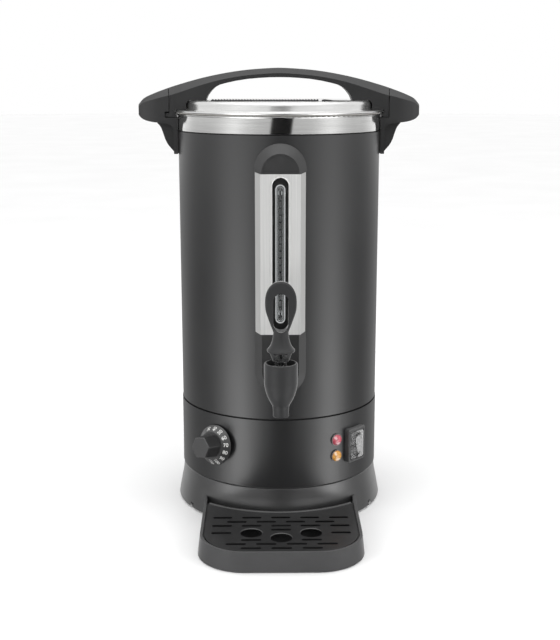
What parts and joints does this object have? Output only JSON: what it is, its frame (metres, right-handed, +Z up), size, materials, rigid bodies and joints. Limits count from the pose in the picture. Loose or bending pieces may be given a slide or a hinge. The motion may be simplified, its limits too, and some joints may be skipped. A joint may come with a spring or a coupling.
{
  "type": "hot water urn",
  "caption": "Upright countertop hot water urn with twist-lock lid, carrying handles, sight-tube level gauge, lever tap, thermostat knob, covered switch and pull-out drip tray.",
  "frame": {"origin": "on the urn's vertical axis at table height, at the middle of the centre foot's face", "axes": "+Z up along the urn's axis; the tap, gauge and drip tray face -Y; +X is to the right when facing the tap; the cord gland faces +Y"},
  "size_m": [0.332, 0.3766, 0.5276],
  "materials": {
    "painted_shell": "fine-textured satin dark grey paint",
    "steel_brushed": "satin brushed stainless steel",
    "steel_tank": "mill-finish stainless steel",
    "steel_zinc": "bright zinc-plated steel",
    "spreader_alu": "plain rolled aluminium",
    "element_steel": "heat-darkened steel sheath",
    "black_plastic": "fine-grained satin black plastic",
    "tap_plastic": "satin dark grey plastic",
    "knob_plastic": "semi-gloss black plastic",
    "gasket_silicone": "translucent grey silicone",
    "rubber_black": "matt black rubber",
    "clear_tube": "clear sight tube",
    "stripe_ink": "dark level stripe",
    "brass_plated": "turned brass",
    "cover_clear": "clear flexible splash cover",
    "lens_red": "translucent red lens",
    "lens_amber": "translucent amber lens",
    "bakelite": "moulded thermoset",
    "ceramic_white": "white glazed insulator block",
    "wire_sleeve": "heat-resistant sleeved wire"
  },
  "bodies": {
    "urn_body": {"outer_shell": "painted_shell", "inner_tank": "steel_tank", "tank_ring": "black_plastic", "base_shell": "painted_shell", "base_skirt": "black_plastic", "base_plate": "steel_zinc", "feet": "rubber_black", "base_screws": "steel_zinc", "tie_rod": "steel_zinc", "tie_nut": "steel_zinc", "heat_spreader": "spreader_alu", "heating_element": "element_steel", "cutout_body": "bakelite", "ear_right": "black_plastic", "ear_left": "black_plastic", "ear_pads": "rubber_black", "ear_screws": "steel_zinc", "gauge_housing": "black_plastic", "gauge_faceplate": "steel_brushed", "gauge_tube": "clear_tube", "gauge_stripe": "stripe_ink", "gauge_seals": "gasket_silicone", "tap_shroud": "tap_plastic", "tap_body": "tap_plastic", "tap_shank": "brass_plated", "tap_nut": "brass_plated", "tap_washers": "gasket_silicone", "tap_bonnet": "tap_plastic", "lever_pin": "steel_zinc", "thermostat_body": "bakelite", "thermostat_nut": "steel_zinc", "thermostat_bulb": "steel_zinc", "switch_body": "black_plastic", "switch_frame": "knob_plastic", "switch_axle": "steel_zinc", "switch_cover": "cover_clear", "lamp_holders": "knob_plastic", "lamp_lens_red": "lens_red", "lamp_lens_amber": "lens_amber", "terminal_block": "ceramic_white", "cord_gland": "black_plastic", "gland_nut": "black_plastic", "wiring": "wire_sleeve"},
    "lid_ring": {"lid_gasket": "gasket_silicone"},
    "lid": {"lid_pan": "steel_brushed", "lid_handle": "black_plastic", "lid_screws": "steel_zinc", "vent_strip": "black_plastic"},
    "tap_lever": {"tap_lever": "tap_plastic", "link_pin": "steel_zinc"},
    "tap_stem": {"tap_stem": "steel_brushed", "seat_cup": "gasket_silicone", "tap_spring": "steel_zinc"},
    "knob": {"thermostat_knob": "knob_plastic", "thermostat_shaft": "steel_zinc"},
    "rocker": {"switch_rocker": "knob_plastic"},
    "reset_button": {"reset_button": "black_plastic"},
    "drip_tray": {"drip_tray": "black_plastic"},
    "drip_grille": {"drip_grille": "knob_plastic"}
  },
  "joints": [
    {"name": "lid_lift", "type": "slide", "parent": "urn_body", "child": "lid_ring", "axis": [0, 0, 1], "range_m": [0, 0.0601]},
    {"name": "lid_twist", "type": "hinge", "parent": "lid_ring", "child": "lid", "pos_m": [0, 0, 0.48], "axis": [0, 0, 1], "range_deg": [0, 150]},
    {"name": "tap_lever", "type": "hinge", "parent": "urn_body", "child": "tap_lever", "pos_m": [0, -0.174, 0.216], "axis": [1, 0, 0], "range_deg": [0, 30], "stiffness_Nm_per_rad": 0.15, "springref_deg": -22.92},
    {"name": "tap_stem", "type": "slide", "parent": "urn_body", "child": "tap_stem", "axis": [0, 0, 1], "range_m": [0, 0.0041], "deforming": ["tap_spring"]},
    {"name": "thermostat_knob", "type": "hinge", "parent": "urn_body", "child": "knob", "pos_m": [-0.07427, -0.09679, 0.093], "axis": [0.6028, 0.7856, -0.1392], "range_deg": [0, 264]},
    {"name": "switch_rocker", "type": "hinge", "parent": "urn_body", "child": "rocker", "pos_m": [0.08487, -0.08054, 0.0896], "axis": [-0.6884, -0.7254, 0], "range_deg": [0, 20]},
    {"name": "reset_button", "type": "slide", "parent": "urn_body", "child": "reset_button", "axis": [0, 0, 1], "range_m": [0, 0.0015], "stiffness_N_per_m": 400, "springref_m": -0.002},
    {"name": "drip_tray", "type": "slide", "parent": "urn_body", "child": "drip_tray", "axis": [0, -1, 0], "range_m": [0, 0.06]},
    {"name": "drip_grille", "type": "slide", "parent": "drip_tray", "child": "drip_grille", "axis": [0, 0, 1], "range_m": [0, 0.04]}
  ],
  "couplings": [
    {"joint": "lid_lift", "follows": "lid_twist", "m_per_rad": 0.022918},
    {"joint": "tap_stem", "follows": "tap_lever", "m_per_rad": 0.0076394}
  ]
}
